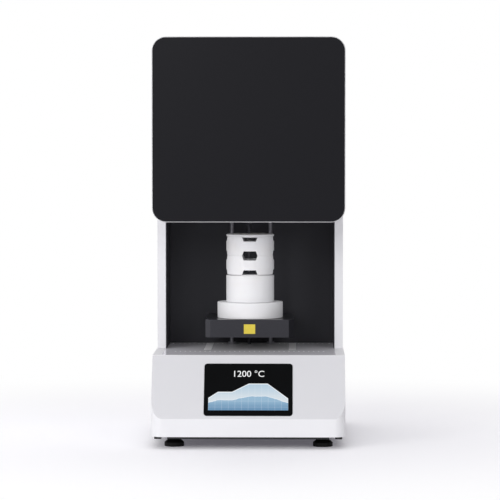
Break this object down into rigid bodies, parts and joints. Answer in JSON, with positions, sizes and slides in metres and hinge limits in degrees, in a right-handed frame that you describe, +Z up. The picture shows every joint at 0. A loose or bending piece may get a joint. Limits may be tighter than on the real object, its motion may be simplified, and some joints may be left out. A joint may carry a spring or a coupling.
{
  "type": "dental lab furnace",
  "caption": "Bottom-loading dental sintering furnace: heating head on columns over an open bay, screw-driven lift with slotted crucible trays, sloped console.",
  "frame": {"origin": "on the floor under the firing axis, which is the middle of the object's footprint", "axes": "+Z up, front with the console and the firing bay towards -Y, +X to the right as seen from the front"},
  "size_m": [0.36, 0.444, 0.762],
  "materials": {
    "white_enamel": "smooth satin powder coat",
    "black_panel": "fine satin coat",
    "black_enamel": "satin powder coat",
    "dark_casing": "satin lacquer",
    "deck_gloss": "gloss lacquer",
    "landing_strip": "satin",
    "foot_rubber": "matt moulded rubber",
    "black_plastic": "fine grained moulding",
    "display_glass": "gloss black-backed glass",
    "ceramic": "matt fired ceramic",
    "insulation_board": "soft fibrous board",
    "polished_steel": "ground and polished",
    "plain_steel": "plain rolled steel",
    "cast_aluminium": "milled",
    "nut_brass": "turned",
    "element_grey": "oxidised, matt",
    "transformer_core": "varnished laminations",
    "circuit_board": "satin solder mask"
  },
  "bodies": {
    "cabinet": {"base_tray": "black_enamel", "base_cover": "white_enamel", "display_glass": "display_glass", "display_unit": "black_plastic", "deck_plate": "deck_gloss", "landing_strip_left": "landing_strip", "landing_strip_right": "landing_strip", "column_left": "white_enamel", "column_right": "white_enamel", "bay_liner_left": "black_enamel", "bay_liner_right": "black_enamel", "bay_back_wall": "black_enamel", "guide_rod_left": "polished_steel", "guide_rod_right": "polished_steel", "rod_foot_left": "black_enamel", "rod_foot_right": "black_enamel", "rod_base_bar": "cast_aluminium", "rod_bridge": "cast_aluminium", "lift_motor": "black_enamel", "motor_bracket": "plain_steel", "head_shell": "white_enamel", "head_front_panel": "black_panel", "chamber_frame": "plain_steel", "insulation_neck": "insulation_board", "insulation_muffle": "insulation_board", "insulation_roof": "insulation_board", "chamber_jacket": "plain_steel", "element_holder": "ceramic", "heating_element_1": "element_grey", "heating_element_2": "element_grey", "heating_element_3": "element_grey", "heating_element_4": "element_grey", "thermocouple": "ceramic", "rear_cover_lower": "white_enamel", "rear_cover_upper": "white_enamel", "fan_housing": "black_plastic", "fan_guard": "plain_steel", "power_inlet": "black_plastic", "transformer": "transformer_core", "power_relay": "cast_aluminium", "control_board": "circuit_board"},
    "lift": {"lift_casing": "dark_casing", "lift_bottom_plate": "dark_casing", "lift_bushing_left": "plain_steel", "lift_bushing_right": "plain_steel", "lead_nut": "nut_brass", "plug_disc": "ceramic", "pedestal": "ceramic"},
    "crucible_lower": {"crucible_tray_lower": "ceramic"},
    "crucible_upper": {"crucible_tray_upper": "ceramic"},
    "lid": {"crucible_lid": "ceramic"},
    "screw": {"lead_screw": "polished_steel", "shaft_coupling": "cast_aluminium", "motor_shaft": "plain_steel"},
    "fan": {"fan_rotor": "black_plastic"},
    "rocker": {"switch_rocker": "black_plastic"},
    "levelling_foot_front_left": {"foot_front_left": "foot_rubber"},
    "levelling_foot_front_right": {"foot_front_right": "foot_rubber"},
    "levelling_foot_rear_left": {"foot_rear_left": "foot_rubber"},
    "levelling_foot_rear_right": {"foot_rear_right": "foot_rubber"}
  },
  "joints": [
    {"name": "lift_slide", "type": "slide", "parent": "cabinet", "child": "lift", "axis": [0, 0, 1], "range_m": [-0.021, 0.183]},
    {"name": "screw_spin", "type": "hinge", "parent": "cabinet", "child": "screw", "pos_m": [-0.004, 0.112, 0], "axis": [0, 0, 1], "range_deg": [-1900, 16500]},
    {"name": "crucible_slide", "type": "slide", "parent": "lift", "child": "crucible_lower", "axis": [0, 1, 0], "range_m": [-0.29, 0]},
    {"name": "upper_tray_lift", "type": "slide", "parent": "crucible_lower", "child": "crucible_upper", "axis": [0, 0, 1], "range_m": [0, 0.02]},
    {"name": "lid_lift", "type": "slide", "parent": "crucible_upper", "child": "lid", "axis": [0, 0, 1], "range_m": [0, 0.02]},
    {"name": "fan_spin", "type": "hinge", "parent": "cabinet", "child": "fan", "pos_m": [-0.09, 0.2033, 0.642], "axis": [0, 1, 0], "continuous": true},
    {"name": "switch_rock", "type": "hinge", "parent": "cabinet", "child": "rocker", "pos_m": [-0.118, 0.2165, 0.09], "axis": [-1, 0, 0], "range_deg": [0, 22]},
    {"name": "foot_turn_front_left", "type": "hinge", "parent": "cabinet", "child": "levelling_foot_front_left", "pos_m": [-0.1385, -0.171, 0], "axis": [0, 0, 1], "continuous": true},
    {"name": "foot_turn_front_right", "type": "hinge", "parent": "cabinet", "child": "levelling_foot_front_right", "pos_m": [0.1385, -0.171, 0], "axis": [0, 0, 1], "continuous": true},
    {"name": "foot_turn_rear_left", "type": "hinge", "parent": "cabinet", "child": "levelling_foot_rear_left", "pos_m": [-0.1385, 0.171, 0], "axis": [0, 0, 1], "continuous": true},
    {"name": "foot_turn_rear_right", "type": "hinge", "parent": "cabinet", "child": "levelling_foot_rear_right", "pos_m": [0.1385, 0.171, 0], "axis": [0, 0, 1], "continuous": true}
  ],
  "couplings": [
    {"joint": "screw_spin", "follows": "lift_slide", "rad_per_m": 1570.8}
  ]
}
